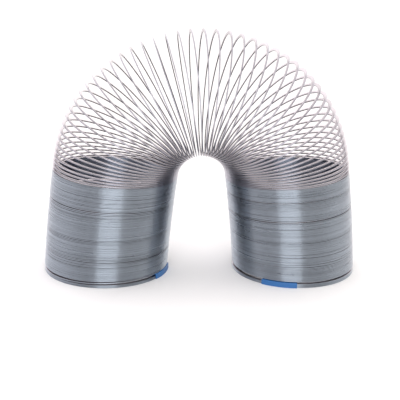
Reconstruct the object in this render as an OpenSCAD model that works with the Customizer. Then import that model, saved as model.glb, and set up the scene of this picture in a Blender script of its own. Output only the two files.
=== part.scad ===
// Walking coil spring toy standing as an arch on its two feet.
// One flat steel wire, wound right-handed. Each open turn of the arch is a piece of its own,
// joined to its neighbours where the wire crosses the inner side of the arch.

/* [Wire] */
// Outside diameter of the coil
coil_od = 75; // [60:0.5:90]
// Width of the flat wire, along the radius
wire_w = 2.2; // [1.6:0.1:3]
// Thickness of the flat wire, along the coil
wire_t = 0.55; // [0.4:0.01:0.58]
// Distance from one closed turn to the next
pitch = 0.62; // [0.6:0.01:0.8]

/* [Arch] */
// Turns from the crown to the closed part of each leg
open_turns = 24.5; // [24.1:0.1:25]
// Distance between turns on the inner side of the crown
crown_gap = 1.41; // [1.2:0.01:1.8]
// How quickly the inner distance closes towards the legs
gap_fade = 2.9; // [2:0.1:4]
// Tilt of the turn where the arch meets a leg, 90 being level
leg_lean = 86; // [84:0.5:90]
// Part of a quarter wave that the tilt follows, 90 being a smooth end at the leg
tilt_span = 77.5; // [70:0.5:90]

/* [Legs] */
// Closed turns in each leg
leg_turns = 86; // [70:1:90]
// Sideways shift of each closed turn against the one above
turn_shift = 0.045; // [0:0.005:0.08]

/* [Feet] */
// Height left between the leg and the last turns for the top of the sleeve
sleeve_room = 1.6; // [1.5:0.1:2.2]
// Wall of the plastic sleeve
sleeve_wall = 0.7; // [0.5:0.05:0.8]
// Angle that a sleeve covers
sleeve_arc = 33; // [26:1:36]
// Chamfer of the sleeve's outer edges
sleeve_chamfer = 0.25; // [0.1:0.05:0.4]
// Middle of the right sleeve, as an angle round its foot from the wire's outermost point
right_sleeve_at = -110; // [-120:1:-100]
// Middle of the left sleeve, measured in the same way
left_sleeve_at = -200; // [-210:1:-196]

/* [Output] */
// Which node to build

/* [Hidden] */
$fn = 96;
wire_r = (coil_od - wire_w) / 2;
half_turns = ceil(open_turns) + leg_turns;
end_levels = 3;
top_level_z = wire_t / 2 + end_levels * pitch;
leg_bottom_z = top_level_z + sleeve_room;
bundle_arc = 12;
first_closed = ceil(open_turns);
steel = [0.66, 0.67, 0.70];
blue = [0.16, 0.27, 0.55];

// Points are [x, z] in the plane through the middle of the wire.
// Inner distance from turn k to the next, k counted from the crown.
function turn_gap(k) = k < open_turns
    ? pitch + (crown_gap - pitch) * pow(cos(90 * k / open_turns), gap_fade)
    : pitch;

// Tilt of turn k from upright: 0 at the crown, leg_lean at the leg and 90 at the foot.
function turn_tilt(k) = k < open_turns
    ? leg_lean * sin(tilt_span * k / open_turns) / sin(tilt_span)
    : leg_lean + (90 - leg_lean) * (k - open_turns) / (half_turns - open_turns);

function turn_step(k) = [
    turn_gap(k) * cos(turn_tilt(k)) + (k < open_turns ? 0 : turn_shift),
    -turn_gap(k) * sin(turn_tilt(k))
];

// Inner point where turn k starts, for k from 1 to half_turns + 1, with the crown at height 0.
inner_path = [
    for (k = 1, p = [crown_gap / 2, 0]; k <= half_turns + 1; p = p + turn_step(k), k = k + 1) p
];
crown_z = leg_bottom_z - inner_path[half_turns][1];

function inner_point(k) = k < 1
    ? [-crown_gap / 2, crown_z]
    : inner_path[k - 1] + [0, crown_z];

function outer_point(k) = (inner_point(k) + inner_point(k + 1)) / 2
    + 2 * wire_r * [sin(turn_tilt(k)), cos(turn_tilt(k))];

foot_x = inner_point(half_turns + 1)[0] + wire_r;
foot_outer = [foot_x + wire_r, top_level_z];

// Cross section of the wire at radius r.
module wire_section(r, tall = wire_t)
    translate([r - wire_w / 2, -wire_t / 2])
    square([wire_w, tall]);

// Half a turn of wire between points a and b; side is 0 behind the middle plane, 180 before it.
module half_turn(a, b, side) {
    mid = (a + b) / 2;
    span = b - a;
    translate([mid[0], 0, mid[1]])
    rotate([0, -atan2(span[1], span[0]), 0])
    rotate([0, 0, side])
    rotate_extrude(angle = 180)
    wire_section(norm(span) / 2);
}

// Turn k: it leaves the inner side backwards, passes the outside and comes back in front.
module turn(k) {
    half_turn(inner_point(k), outer_point(k), 0);
    half_turn(outer_point(k), inner_point(k + 1), 180);
}

// Turns k on the left of the crown are the right ones turned half round.
module arch_turn(k)
    color(steel)
    rotate([0, 0, k < 0 ? 180 : 0])
    turn(abs(k));

// Closed turns of a leg, from turn first down to the foot.
module leg_stack(first)
    color(steel)
    for (k = [first : half_turns]) turn(k);

// Last turns of the wire: a slope down to the top level, three level turns,
// and the bundle inside the sleeve where each level passes into the next.
module foot_turns(sleeve_at)
    color(steel) {
        half_turn(inner_point(half_turns + 1), foot_outer, 0);
        translate([foot_x, 0, wire_t / 2]) {
            translate([0, 0, end_levels * pitch])
            rotate_extrude(start = sleeve_at, angle = -sleeve_at)
            wire_section(wire_r);
            for (level = [0 : end_levels - 1])
            translate([0, 0, level * pitch])
            rotate_extrude()
            wire_section(wire_r);
            rotate_extrude(start = sleeve_at - bundle_arc / 2, angle = bundle_arc)
            wire_section(wire_r, end_levels * pitch + wire_t);
        }
    }

// Plastic clip over the last turns, open below so that the wire stands on the table.
module end_sleeve(sleeve_at) {
    inner = wire_r - wire_w / 2;
    outer = wire_r + wire_w / 2;
    room = end_levels * pitch + wire_t;
    top = room + sleeve_wall;
    c = sleeve_chamfer;
    color(blue)
    translate([foot_x, 0, 0])
    rotate_extrude(start = sleeve_at - sleeve_arc / 2, angle = sleeve_arc)
    polygon([
        [inner - sleeve_wall, 0],
        [inner, 0],
        [inner, room],
        [outer, room],
        [outer, 0],
        [outer + sleeve_wall, 0],
        [outer + sleeve_wall, top - c],
        [outer + sleeve_wall - c, top],
        [inner - sleeve_wall + c, top],
        [inner - sleeve_wall, top - c]
    ]);
}

module right_stack() leg_stack(first_closed);

module left_stack()
    rotate([0, 0, 180])
    leg_stack(first_closed);

module right_foot_turns() foot_turns(right_sleeve_at);

module left_foot_turns()
    rotate([0, 0, 180])
    foot_turns(left_sleeve_at);

module right_end_sleeve() end_sleeve(right_sleeve_at);

module left_end_sleeve()
    rotate([0, 0, 180])
    end_sleeve(left_sleeve_at);

arch_turn(-24);  // arch_turn_01
arch_turn(-23);  // arch_turn_02
arch_turn(-22);  // arch_turn_03
arch_turn(-21);  // arch_turn_04
arch_turn(-20);  // arch_turn_05
arch_turn(-19);  // arch_turn_06
arch_turn(-18);  // arch_turn_07
arch_turn(-17);  // arch_turn_08
arch_turn(-16);  // arch_turn_09
arch_turn(-15);  // arch_turn_10
arch_turn(-14);  // arch_turn_11
arch_turn(-13);  // arch_turn_12
arch_turn(-12);  // arch_turn_13
arch_turn(-11);  // arch_turn_14
arch_turn(-10);  // arch_turn_15
arch_turn(-9);  // arch_turn_16
arch_turn(-8);  // arch_turn_17
arch_turn(-7);  // arch_turn_18
arch_turn(-6);  // arch_turn_19
arch_turn(-5);  // arch_turn_20
arch_turn(-4);  // arch_turn_21
arch_turn(-3);  // arch_turn_22
arch_turn(-2);  // arch_turn_23
arch_turn(-1);  // arch_turn_24
arch_turn(0);  // arch_turn_25
arch_turn(1);  // arch_turn_26
arch_turn(2);  // arch_turn_27
arch_turn(3);  // arch_turn_28
arch_turn(4);  // arch_turn_29
arch_turn(5);  // arch_turn_30
arch_turn(6);  // arch_turn_31
arch_turn(7);  // arch_turn_32
arch_turn(8);  // arch_turn_33
arch_turn(9);  // arch_turn_34
arch_turn(10);  // arch_turn_35
arch_turn(11);  // arch_turn_36
arch_turn(12);  // arch_turn_37
arch_turn(13);  // arch_turn_38
arch_turn(14);  // arch_turn_39
arch_turn(15);  // arch_turn_40
arch_turn(16);  // arch_turn_41
arch_turn(17);  // arch_turn_42
arch_turn(18);  // arch_turn_43
arch_turn(19);  // arch_turn_44
arch_turn(20);  // arch_turn_45
arch_turn(21);  // arch_turn_46
arch_turn(22);  // arch_turn_47
arch_turn(23);  // arch_turn_48
arch_turn(24);  // arch_turn_49
left_stack();
right_stack();
left_foot_turns();
right_foot_turns();
left_end_sleeve();
right_end_sleeve();
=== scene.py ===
import math

import bpy
import numpy as np
from mathutils import Matrix


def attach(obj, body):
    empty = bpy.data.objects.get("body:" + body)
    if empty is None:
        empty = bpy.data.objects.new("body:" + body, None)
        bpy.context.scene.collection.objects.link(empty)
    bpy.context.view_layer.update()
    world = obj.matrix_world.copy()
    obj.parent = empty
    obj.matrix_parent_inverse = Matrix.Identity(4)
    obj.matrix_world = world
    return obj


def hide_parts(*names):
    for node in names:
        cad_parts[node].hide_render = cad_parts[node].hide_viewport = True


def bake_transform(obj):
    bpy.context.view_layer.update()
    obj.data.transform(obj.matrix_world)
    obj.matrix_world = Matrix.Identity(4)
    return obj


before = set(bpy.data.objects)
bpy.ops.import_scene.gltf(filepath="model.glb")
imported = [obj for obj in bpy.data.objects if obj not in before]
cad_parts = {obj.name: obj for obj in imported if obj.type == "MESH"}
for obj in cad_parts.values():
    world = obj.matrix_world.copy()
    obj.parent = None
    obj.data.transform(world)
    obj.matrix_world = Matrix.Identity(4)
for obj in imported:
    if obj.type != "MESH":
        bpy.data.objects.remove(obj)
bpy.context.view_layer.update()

# ---------------------------------------------------------------- the coil's dimensions
# Metres and degrees, the same as in the CAD source.
WIRE_W = 0.0022
WIRE_T = 0.00055
R = 0.0364
PITCH = 0.00062
OPEN_TURNS = 24.5
CROWN_GAP = 0.00141
GAP_FADE = 2.9
LEAN = 86.0
TILT_SPAN = 77.5
LEG_TURNS = 86
SHIFT = 0.000045
LEVELS = 3
TOP_LEVEL = WIRE_T / 2 + LEVELS * PITCH
SLEEVE_ROOM = 0.0016
LEG_BOTTOM = TOP_LEVEL + SLEEVE_ROOM
SLEEVE_WALL = 0.0007
SLEEVE_ARC = 33.0
SLEEVE_AT = {1: -110.0, -1: -200.0}
SLEEVE_ROUND = 0.0004
FIRST_CLOSED = math.ceil(OPEN_TURNS)
HALF = FIRST_CLOSED + LEG_TURNS
SIDE_NAME = {1: "right", -1: "left"}
# mesh steps in one turn of the arch and of a leg, and degrees for a step of a foot
ARCH_STEPS = 96
LEG_STEPS = 80
FOOT_STEP = 3.0


def gap(k):
    """Inner distance from turn k to the next, k counted from the crown."""
    if k < OPEN_TURNS:
        return PITCH + (CROWN_GAP - PITCH) * math.cos(math.radians(90 * k / OPEN_TURNS)) ** GAP_FADE
    return PITCH


def tilt(u):
    """Tilt in radians of the coil u turns from the crown."""
    a = np.abs(u)
    part = np.sin(np.radians(TILT_SPAN * np.minimum(a, OPEN_TURNS) / OPEN_TURNS))
    opened = LEAN * part / math.sin(math.radians(TILT_SPAN))
    closed = (90 - LEAN) * np.clip((a - OPEN_TURNS) / (HALF - OPEN_TURNS), 0, 1)
    return np.radians(opened + closed) * np.sign(u)


# Inner points where one turn passes into the next, as (x, z); point k is k - 0.5 turns from the crown.
inner = [(CROWN_GAP / 2, 0.0)]
for k in range(1, HALF + 1):
    a = float(tilt(k))
    inner.append((
        inner[-1][0] + gap(k) * math.cos(a) + (0 if k < OPEN_TURNS else SHIFT),
        inner[-1][1] - gap(k) * math.sin(a),
    ))
inner = np.array(inner)
inner[:, 1] += LEG_BOTTOM - inner[-1, 1]
both = np.vstack([inner[::-1] * [-1, 1], inner])
FOOT_X = float(inner[-1, 0]) + R


def inner_curve(u):
    """Smooth curve through the inner points, for u in turns from the crown."""
    s = np.clip(np.asarray(u, float) + HALF + 0.5, 0, len(both) - 1 - 1e-9)
    i = np.floor(s).astype(int)
    f = (s - i)[:, None]
    p0, p1 = both[np.maximum(i - 1, 0)], both[i]
    p2, p3 = both[i + 1], both[np.minimum(i + 2, len(both) - 1)]
    return 0.5 * (2 * p1 + (p2 - p0) * f + (2 * p0 - 5 * p1 + 4 * p2 - p3) * f**2
                  + (3 * p1 - p0 - 3 * p2 + p3) * f**3)


# Uneven closing of each leg's turns: (turns from the crown, extra gap in metres, lean, its direction).
# Most of them stand alone, and a few bunches of neighbouring turns part together.
SLACK = 0.0043
LONE_GAPS = 24
BUNCHES = (3, 2, 3, 2)
rng = np.random.default_rng(41)
loose = {}
for side in (1, -1):
    gaps = [rng.uniform(FIRST_CLOSED + 3, HALF - 4, LONE_GAPS)]
    for i, count in enumerate(BUNCHES):
        start = rng.uniform(FIRST_CLOSED + 6, HALF - 8, len(BUNCHES))[i]
        gaps.append(start + np.arange(count))
    at = np.sort(np.concatenate(gaps))
    height = rng.uniform(0.4, 1.0, len(at))
    height *= SLACK / height.sum()
    lean = rng.uniform(-0.8, 0.8, len(at))
    turn = rng.uniform(0, 2 * math.pi, len(at))
    loose[side] = list(zip(at, height, lean, turn))


def leg_sag(u, side, around):
    """Small vertical offset of the closed turns: some turns part a little and the rest close up."""
    first, last = FIRST_CLOSED - 0.5, HALF + 0.5
    down = np.zeros_like(u)
    for at, height, lean, turn in loose[side]:
        step = 0.5 * (1 + np.tanh((u - at) / 0.3))
        fade = np.clip((last - u) / 20, 0, 1) * np.clip((u - first) / 12, 0, 1)
        down += height * step * (1 + lean * np.cos(around - turn) * fade)
    return -(down - SLACK * np.clip((u - first - 2) / (last - first - 2), 0, 1))


def wire_tilt(u):
    """Tilt along the wire: it drifts through the upper turns, and steps at the inner points by the legs."""
    k = np.round(u)
    drift = np.clip((FIRST_CLOSED - 1 - np.abs(k)) / 4, 0, 1)
    return tilt(k + (u - k) * drift)


def coil(u, side=None):
    """Centre line of the wire and its outward direction, for u in turns from the crown."""
    u = np.asarray(u, float)
    phi = 2 * np.pi * u
    p = inner_curve(u)
    b = wire_tilt(u)
    n = np.stack([np.sin(b), np.zeros_like(b), np.cos(b)], 1)
    out = np.cos(phi)[:, None] * n + np.stack([0 * phi, -np.sin(phi), 0 * phi], 1)
    centre = np.stack([p[:, 0], 0 * b, p[:, 1]], 1) + R * n
    if side:
        # distance from the crown grows down the leg on either side
        centre[:, 2] += leg_sag(np.abs(u), side, phi)
        # turns lie a little out of line, less so at both ends of the leg
        to_foot = np.clip((HALF + 0.5 - np.abs(u)) / 3, 0, 1)
        to_arch = np.clip((np.abs(u) - FIRST_CLOSED + 0.5) / 3, 0, 1)
        fade = to_foot * to_arch
        wobble = 0.00007 * np.sin(1.9 * u) * np.sin(0.73 * u + 1) + 0.00005 * np.sin(5.1 * u)
        centre[:, 0] += wobble * fade
        centre[:, 1] += fade * 0.00006 * np.sin(2.7 * u + 2)
    return centre + R * out, out


# ---------------------------------------------------------------- meshes
def wire_profile():
    """Outline of the flat wire with rolled corners: (outward, along the coil), in metres.

    Points 0 to 5 go round the outer edge and 6 to 11 round the inner one.
    """
    w, t, c = WIRE_W / 2, WIRE_T / 2, 0.00017
    edge = [
        (w - c, -t), (w - 0.3 * c, -t + 0.3 * c), (w, -t + c),
        (w, t - c), (w - 0.3 * c, t - 0.3 * c), (w - c, t),
    ]
    return np.array(edge + [(-x, -y) for x, y in edge])


def link_mesh(name, mesh):
    obj = bpy.data.objects.new(name, mesh)
    bpy.context.scene.collection.objects.link(obj)
    return obj


def sweep(name, path, out, profile, turns):
    """A closed mesh of the profile carried along the path, its first axis pointing outward.

    The UV map holds the turn count along the wire and the place round its outline.
    """
    tangent = np.gradient(path, axis=0)
    tangent /= np.linalg.norm(tangent, axis=1)[:, None]
    side_dir = np.cross(tangent, out)
    side_dir /= np.linalg.norm(side_dir, axis=1)[:, None]
    out = np.cross(side_dir, tangent)
    n, m = len(path), len(profile)
    verts = (path[:, None, :] + profile[None, :, 0, None] * out[:, None, :]
             + profile[None, :, 1, None] * side_dir[:, None, :]).reshape(-1, 3)
    i = np.arange(n - 1)[:, None] * m
    j = np.arange(m)[None, :]
    k = (j + 1) % m
    quads = np.stack([i + j, i + k, i + m + k, i + m + j], -1).reshape(-1, 4)
    mesh = bpy.data.meshes.new(name)
    caps = [list(range(m))[::-1], [(n - 1) * m + q for q in range(m)]]
    mesh.from_pydata(verts.tolist(), [], quads.tolist() + caps)
    a, b = turns[:-1, None] + 0 * j, turns[1:, None] + 0 * j
    low, high = j / m + 0 * a, (j + 1) / m + 0 * a
    corners = [(a, low), (a, high), (b, high), (b, low)]
    uv = np.stack([np.stack(corner, -1) for corner in corners], 2)
    ends = np.concatenate([np.full((m, 2), (turns[0], 0.2)), np.full((m, 2), (turns[-1], 0.2))])
    layer = mesh.uv_layers.new(name="along_wire")
    layer.data.foreach_set("uv", np.concatenate([uv.reshape(-1), ends.reshape(-1)]))
    mesh.polygons.foreach_set("use_smooth", [len(p.vertices) == 4 for p in mesh.polygons])
    mesh.update()
    return link_mesh(name, mesh)


# ---------------------------------------------------------------- materials
def node_tree(name):
    mat = bpy.data.materials.new(name)
    mat.use_nodes = True
    nt = mat.node_tree
    return mat, nt, nt.nodes["Principled BSDF"]


def steel_material(name, edge, inner_painted_shading):
    """Rolled spring steel with drawing marks along the wire, its faces painted for light: bright wide faces
    as a painted reflection, greyer edges, and the inner edge in the painted shading given.
    """
    mat, nt, bsdf = node_tree(name)
    link, new = nt.links.new, nt.nodes.new
    uv = new("ShaderNodeUVMap")
    uv.uv_map = "along_wire"
    split = new("ShaderNodeSeparateXYZ")
    link(uv.outputs["UV"], split.inputs["Vector"])
    # painted light and shade on the wire's faces: the wide faces get the bright painted reflection, the
    # outer edges a greyer, bluer colour, and the inner edge the painted shading passed in
    faces = new("ShaderNodeValToRGB")
    faces.color_ramp.interpolation = "CONSTANT"
    stops = [(0.0, edge), (4.5 / 12, WIDE_PAINTED_SHEEN), (6.5 / 12, inner_painted_shading), (11 / 12, WIDE_PAINTED_SHEEN)]
    while len(faces.color_ramp.elements) < len(stops):
        faces.color_ramp.elements.new(0.5)
    for element, (at, color) in zip(faces.color_ramp.elements, stops):
        element.position = at
        element.color = (*color, 1)
    link(split.outputs["Y"], faces.inputs["Fac"])
    # each turn has its own shade, which drifts along the wire
    along = new("ShaderNodeMath")
    along.operation = "MULTIPLY"
    along.inputs[1].default_value = 1.3
    link(split.outputs["X"], along.inputs[0])
    shade = new("ShaderNodeTexNoise")
    shade.noise_dimensions = "1D"
    shade.inputs["Scale"].default_value = 1.0
    shade.inputs["Detail"].default_value = 2.0
    link(along.outputs["Value"], shade.inputs["W"])
    level = new("ShaderNodeMapRange")
    level.inputs["From Min"].default_value = 0.25
    level.inputs["From Max"].default_value = 0.75
    level.inputs["To Min"].default_value = 0.86
    level.inputs["To Max"].default_value = 1.14
    link(shade.outputs["Fac"], level.inputs["Value"])
    color = new("ShaderNodeVectorMath")
    color.operation = "SCALE"
    link(faces.outputs["Color"], color.inputs[0])
    link(level.outputs["Result"], color.inputs["Scale"])
    link(color.outputs["Vector"], bsdf.inputs["Base Color"])
    rough = new("ShaderNodeMapRange")
    rough.inputs["From Min"].default_value = 0.25
    rough.inputs["From Max"].default_value = 0.75
    rough.inputs["To Min"].default_value = 0.26
    rough.inputs["To Max"].default_value = 0.33
    link(shade.outputs["Fac"], rough.inputs["Value"])
    link(rough.outputs["Result"], bsdf.inputs["Roughness"])
    marks = new("ShaderNodeTangent")
    marks.direction_type = "UV_MAP"
    marks.uv_map = "along_wire"
    link(marks.outputs["Tangent"], bsdf.inputs["Tangent"])
    bsdf.inputs["Metallic"].default_value = 1.0
    bsdf.inputs["Anisotropic"].default_value = 0.8
    bsdf.inputs["Anisotropic Rotation"].default_value = 0.25
    return mat


def plastic_material():
    mat, nt, bsdf = node_tree("blue_plastic")
    bsdf.inputs["Specular IOR Level"].default_value = 0.4
    coord = nt.nodes.new("ShaderNodeTexCoord")
    noise = nt.nodes.new("ShaderNodeTexNoise")
    noise.inputs["Scale"].default_value = 350.0
    noise.inputs["Detail"].default_value = 3.0
    nt.links.new(coord.outputs["Object"], noise.inputs["Vector"])
    ramp = nt.nodes.new("ShaderNodeValToRGB")
    ramp.color_ramp.elements[0].color = (0.025, 0.125, 0.350, 1)
    ramp.color_ramp.elements[1].color = (0.040, 0.165, 0.420, 1)
    nt.links.new(noise.outputs["Fac"], ramp.inputs["Fac"])
    nt.links.new(ramp.outputs["Color"], bsdf.inputs["Base Color"])
    rough = nt.nodes.new("ShaderNodeMapRange")
    rough.inputs["To Min"].default_value = 0.36
    rough.inputs["To Max"].default_value = 0.48
    nt.links.new(noise.outputs["Fac"], rough.inputs["Value"])
    nt.links.new(rough.outputs["Result"], bsdf.inputs["Roughness"])
    return mat


# painted reflection: the wide faces are coloured brighter and pinker than the edges for the light they
# catch
WIDE_PAINTED_SHEEN = (0.44, 0.41, 0.44)
# one steel in two copies: the inside is painted dark as painted shade on the open turns, and painted
# lighter as painted light inside the legs
ARCH_STEEL_PAINTED_SHADE = steel_material("spring_steel_painted_shade_inside", (0.36, 0.36, 0.41), (0.035, 0.038, 0.05))
LEG_STEEL_PAINTED_LIGHT = steel_material("spring_steel_painted_light_inside", (0.32, 0.36, 0.41), (0.34, 0.38, 0.46))
BLUE = plastic_material()
PROFILE = wire_profile()

# ---------------------------------------------------------------- arch turns
for k in range(1 - FIRST_CLOSED, FIRST_CLOSED):
    number = k + FIRST_CLOSED
    u = np.linspace(k - 0.5, k + 0.5, ARCH_STEPS + 1)
    # one step beyond each end gives the neighbours' direction at the shared cut
    far = np.concatenate([[u[0] - 1 / ARCH_STEPS], u, [u[-1] + 1 / ARCH_STEPS]])
    path, out = coil(far)
    piece = sweep("wire_turn_%02d" % number, path[1:-1], out[1:-1], PROFILE, u)
    piece.data.materials.append(ARCH_STEEL_PAINTED_SHADE)
    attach(piece, "turn_%02d" % number)
    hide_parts("arch_turn_%02d" % number)

# ---------------------------------------------------------------- legs
for side in (1, -1):
    word = SIDE_NAME[side]
    a, b = FIRST_CLOSED - 0.5, HALF + 0.5
    u = np.linspace(a, b, int((b - a) * LEG_STEPS) + 1)
    if side < 0:
        u = -u[::-1]
    path, out = coil(u, side)
    leg = sweep("wire_%s_leg" % word, path, out, PROFILE, u)
    leg.data.materials.append(LEG_STEEL_PAINTED_LIGHT)
    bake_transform(leg)
    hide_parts(word + "_stack")

# ---------------------------------------------------------------- feet
def foot_path(side):
    """Last turns of the wire: down from the leg, three level turns, steps hidden in the sleeve."""
    at = SLEEVE_AT[side]
    start, stop = at + SLEEVE_ARC / 2 - 4, at - SLEEVE_ARC / 2 + 4
    end = at - 360 * LEVELS + SLEEVE_ARC / 2 - 3
    az = np.arange(180, end, -FOOT_STEP)
    az = np.append(az, end)
    z = np.full_like(az, TOP_LEVEL)
    lead = az > 0
    f = np.clip((180 - az) / 180, 0, 1)
    z[lead] = (LEG_BOTTOM + (TOP_LEVEL - LEG_BOTTOM) * (f * f * (3 - 2 * f)))[lead]
    for level in range(LEVELS):
        g = np.clip((start - 360 * level - az) / (start - stop), 0, 1)
        z -= PITCH * g * g * (3 - 2 * g)
    r = np.radians(az)
    out = np.stack([np.cos(r), np.sin(r), 0 * r], 1)
    path = out * R + np.stack([FOOT_X + 0 * r, 0 * r, z], 1)
    if side < 0:
        path = path * [-1, -1, 1]
        out = out * [-1, -1, 1]
    return path, out


def sleeve_section():
    """Outline of the clip, open below: (distance from the coil's axis, height)."""
    inner_r, outer_r = R - WIRE_W / 2, R + WIRE_W / 2
    room = LEVELS * PITCH + WIRE_T
    w, top, c = SLEEVE_WALL, room + SLEEVE_WALL, SLEEVE_ROUND
    edge = 0.0001
    section = [
        (inner_r - w + edge, 0), (inner_r - edge, 0), (inner_r, edge), (inner_r, room),
        (outer_r, room), (outer_r, edge), (outer_r + edge, 0), (outer_r + w - edge, 0),
        (outer_r + w, edge),
    ]
    corner_steps = 5
    for j in range(corner_steps + 1):
        a = math.radians(90 * j / corner_steps)
        section.append((outer_r + w - c + c * math.cos(a), top - c + c * math.sin(a)))
    for j in range(corner_steps + 1):
        a = math.radians(90 + 90 * j / corner_steps)
        section.append((inner_r - w + c + c * math.cos(a), top - c + c * math.sin(a)))
    section.append((inner_r - w, edge))
    return np.array(section)


def sleeve_stations():
    """Angles along the clip from its middle, each with how far the outer skin draws in there."""
    half = math.radians(SLEEVE_ARC / 2)
    soft = 0.00035
    inset = []
    for j in range(5):
        a = math.pi / 2 * j / 4
        inset.append((-half + soft / R * (1 - math.cos(a)), soft * (1 - math.sin(a))))
    middle = np.linspace(-half + soft / R, half - soft / R, 28)[1:-1]
    return inset + [(a, 0.0) for a in middle] + [(-a, s) for a, s in inset[::-1]]


def sleeve_mesh(name, side):
    """Clip of C section with rounded outer edges and rounded ends, moulded in one piece."""
    section = sleeve_section()
    w, room = SLEEVE_WALL, LEVELS * PITCH + WIRE_T
    aside = section[:, 0] - R
    skin_side = np.abs(aside) > WIRE_W / 2 + w * 0.6
    skin_top = section[:, 1] > room + w * 0.3
    rings = []
    for a, draw in sleeve_stations():
        pts = section.copy()
        pull = min(draw, w * 0.5)
        pts[skin_side, 0] -= np.sign(aside[skin_side]) * pull
        pts[skin_top, 1] -= pull
        angle = math.radians(SLEEVE_AT[side]) + a
        x = FOOT_X + pts[:, 0] * math.cos(angle)
        rings.append(np.stack([x, pts[:, 0] * math.sin(angle), pts[:, 1]], 1) * [side, side, 1])
    n, m = len(rings), len(section)
    faces = [
        [i * m + (j + 1) % m, i * m + j, (i + 1) * m + j, (i + 1) * m + (j + 1) % m]
        for i in range(n - 1) for j in range(m)
    ]
    faces.append(list(range(m)))
    faces.append([(n - 1) * m + j for j in range(m)][::-1])
    mesh = bpy.data.meshes.new(name)
    mesh.from_pydata(np.concatenate(rings).tolist(), [], faces)
    mesh.validate()
    mesh.update()
    mesh.polygons.foreach_set("use_smooth", [True] * len(mesh.polygons))
    mesh.set_sharp_from_angle(angle=math.radians(35))
    return link_mesh(name, mesh)


for side in (1, -1):
    word = SIDE_NAME[side]
    path, out = foot_path(side)
    turns = side * (HALF + 0.5) + np.arange(len(path)) * FOOT_STEP / 360
    foot = sweep("wire_%s_foot" % word, path, out, PROFILE, turns)
    foot.data.materials.append(LEG_STEEL_PAINTED_LIGHT)
    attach(foot, word + "_foot")
    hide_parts(word + "_foot_turns")
    sleeve = sleeve_mesh("sleeve_" + word, side)
    sleeve.data.materials.append(BLUE)
    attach(sleeve, word + "_foot")
    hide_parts(word + "_end_sleeve")

# ---------------------------------------------------------------- floor, light and camera
mat, nt, bsdf = node_tree("pale_floor")
bsdf.inputs["Base Color"].default_value = (0.95, 0.95, 0.955, 1)
bsdf.inputs["Roughness"].default_value = 0.9
bsdf.inputs["Specular IOR Level"].default_value = 0.1
floor_mesh = bpy.data.meshes.new("floor")
half_floor = 6.0
floor_corners = [(x * half_floor, y * half_floor, 0) for x, y in ((-1, -1), (1, -1), (1, 1), (-1, 1))]
floor_mesh.from_pydata(floor_corners, [], [(0, 1, 2, 3)])
floor = link_mesh("floor", floor_mesh)
floor.data.materials.append(mat)

world = bpy.data.worlds.new("studio")
bpy.context.scene.world = world
world.use_nodes = True
wt = world.node_tree
bg = wt.nodes["Background"]
coord = wt.nodes.new("ShaderNodeTexCoord")
sep = wt.nodes.new("ShaderNodeSeparateXYZ")
wt.links.new(coord.outputs["Generated"], sep.inputs["Vector"])


def span(value, low, high, start, end):
    """Value mapped from low..high to start..end, held at the ends."""
    node = wt.nodes.new("ShaderNodeMapRange")
    node.interpolation_type = "SMOOTHSTEP"
    for key, number in (("From Min", low), ("From Max", high), ("To Min", start), ("To Max", end)):
        node.inputs[key].default_value = number
    wt.links.new(value, node.inputs["Value"])
    return node.outputs["Result"]


# bright behind, brightest straight behind; in front dim below and brighter above
front = span(sep.outputs["Z"], -0.1, 0.75, 0.02, 0.6)
back = span(sep.outputs["Y"], 0.2, 0.85, 1.4, 1.8)
blend = wt.nodes.new("ShaderNodeMix")
wt.links.new(span(sep.outputs["Y"], -0.75, 0.1, 0.0, 1.0), blend.inputs["Factor"])
wt.links.new(front, blend.inputs["A"])
wt.links.new(back, blend.inputs["B"])
wt.links.new(blend.outputs["Result"], bg.inputs["Strength"])
# a little warmer to the right, pinker to the left
tint = wt.nodes.new("ShaderNodeValToRGB")
tint.color_ramp.elements[0].color = (1.0, 0.95, 0.97, 1)
tint.color_ramp.elements[1].color = (1.0, 0.96, 0.92, 1)
wt.links.new(span(sep.outputs["X"], -0.6, 0.6, 0.0, 1.0), tint.inputs["Fac"])
wt.links.new(tint.outputs["Color"], bg.inputs["Color"])


def area(name, at, look, size, energy):
    """Rectangular light at one point, turned towards another."""
    light = bpy.data.lights.new(name, "AREA")
    light.shape = "RECTANGLE"
    light.size, light.size_y = size
    light.energy = energy
    obj = bpy.data.objects.new(name, light)
    bpy.context.scene.collection.objects.link(obj)
    obj.location = at
    d = np.array(look, float) - np.array(at, float)
    down = math.atan2(math.hypot(d[0], d[1]), -d[2])
    obj.rotation_euler = (down, 0, math.atan2(d[1], d[0]) - math.pi / 2)


area("front_box", (-0.04, -0.66, 0.30), (-0.02, 0, 0.06), (0.46, 0.9), 3.6)

cam_data = bpy.data.cameras.new("camera")
cam = bpy.data.objects.new("camera", cam_data)
bpy.context.scene.collection.objects.link(cam)
cam_data.sensor_width = 36
cam_data.lens = 86.715
cam_data.clip_start = 0.01
cam_data.clip_end = 20
yaw, pitch, roll = 0.0562, 0.2935, 0.0194
fwd = np.array([math.sin(yaw) * math.cos(pitch), math.cos(yaw) * math.cos(pitch), -math.sin(pitch)])
right = np.array([math.cos(yaw), -math.sin(yaw), 0])
up = np.cross(right, fwd)
rolled_right = math.cos(roll) * right + math.sin(roll) * up
rolled_up = -math.sin(roll) * right + math.cos(roll) * up
eye = (-0.03211, -0.56025, 0.21212)
cam.matrix_world = Matrix([*zip(rolled_right, rolled_up, -fwd, eye), (0, 0, 0, 1)])
bpy.context.scene.camera = cam
bpy.context.scene.view_settings.view_transform = "Standard"
